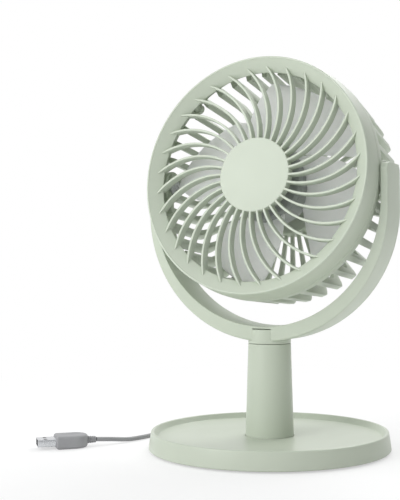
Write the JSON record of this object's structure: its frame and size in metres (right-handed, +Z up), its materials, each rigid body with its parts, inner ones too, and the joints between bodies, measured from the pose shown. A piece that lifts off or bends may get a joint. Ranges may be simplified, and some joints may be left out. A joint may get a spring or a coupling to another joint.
{
  "type": "desk fan",
  "caption": "Small desk fan: round caged head tilting in a U-shaped yoke that swivels on a tapered column over a shallow tray base, with a detachable USB supply cord.",
  "frame": {"origin": "on the desk, under the middle of the base", "axes": "+Z up, -Y the way the fan blows, +X to the right as seen from the front"},
  "size_m": [0.2179, 0.1942, 0.2482],
  "materials": {
    "sage_plastic": "satin",
    "rotor_plastic": "gloss",
    "light_pipe": "gloss",
    "grey_plastic": "satin",
    "black_plastic": "satin",
    "circuit_board": "satin",
    "foot_rubber": "matte",
    "cord_jacket": "matte",
    "steel": "satin",
    "ballast_iron": "matte",
    "bronze_bush": "satin"
  },
  "bodies": {
    "base": {"tray_base": "sage_plastic", "base_plate": "sage_plastic", "ballast_weight": "ballast_iron", "foot_ring": "foot_rubber", "plate_screws": "steel", "column": "sage_plastic", "column_screws": "steel", "usb_socket": "steel", "socket_board": "circuit_board", "micro_plug_shell": "steel", "micro_plug_grip": "grey_plastic", "cord_to_coil": "cord_jacket", "cord_coil": "cord_jacket", "cord_to_plug": "cord_jacket", "usb_plug_shell": "steel", "usb_plug_insert": "black_plastic", "usb_plug_grip": "grey_plastic"},
    "yoke": {"swivel_collar": "sage_plastic", "swivel_shaft": "steel", "swivel_washer": "steel", "swivel_nut": "steel", "yoke_arch": "sage_plastic", "yoke_back_cover": "sage_plastic", "yoke_screws": "steel", "pivot_pin_left": "steel", "pivot_pin_right": "steel", "friction_washer_left": "black_plastic", "friction_washer_right": "black_plastic"},
    "head": {"front_grille": "sage_plastic", "cage_wall": "sage_plastic", "cage_back": "sage_plastic", "case_screws": "steel", "motor_can": "steel", "motor_screws": "steel", "front_bush": "bronze_bush", "rear_bush": "bronze_bush", "control_board": "circuit_board", "speed_switch": "black_plastic", "motor_cover": "sage_plastic", "cover_screws": "steel", "status_light": "light_pipe"},
    "rotor": {"motor_shaft": "steel", "rotor_blades": "rotor_plastic", "rotor_cap": "rotor_plastic"},
    "button": {"speed_button": "sage_plastic"}
  },
  "joints": [
    {"name": "swivel", "type": "hinge", "parent": "base", "child": "yoke", "pos_m": [0, 0, 0.0662], "axis": [0, 0, 1], "range_deg": [-60, 60]},
    {"name": "tilt", "type": "hinge", "parent": "yoke", "child": "head", "pos_m": [0, 0, 0.169], "axis": [1, 0, 0], "range_deg": [-81.5, 98.5]},
    {"name": "rotor_spin", "type": "hinge", "parent": "head", "child": "rotor", "pos_m": [0, 0, 0.169], "axis": [0, -0.989, 0.1478], "continuous": true},
    {"name": "button_press", "type": "slide", "parent": "head", "child": "button", "axis": [0, -0.989, 0.1478], "range_m": [0, 0.0012], "stiffness_N_per_m": 800, "springref_m": -0.0006}
  ]
}
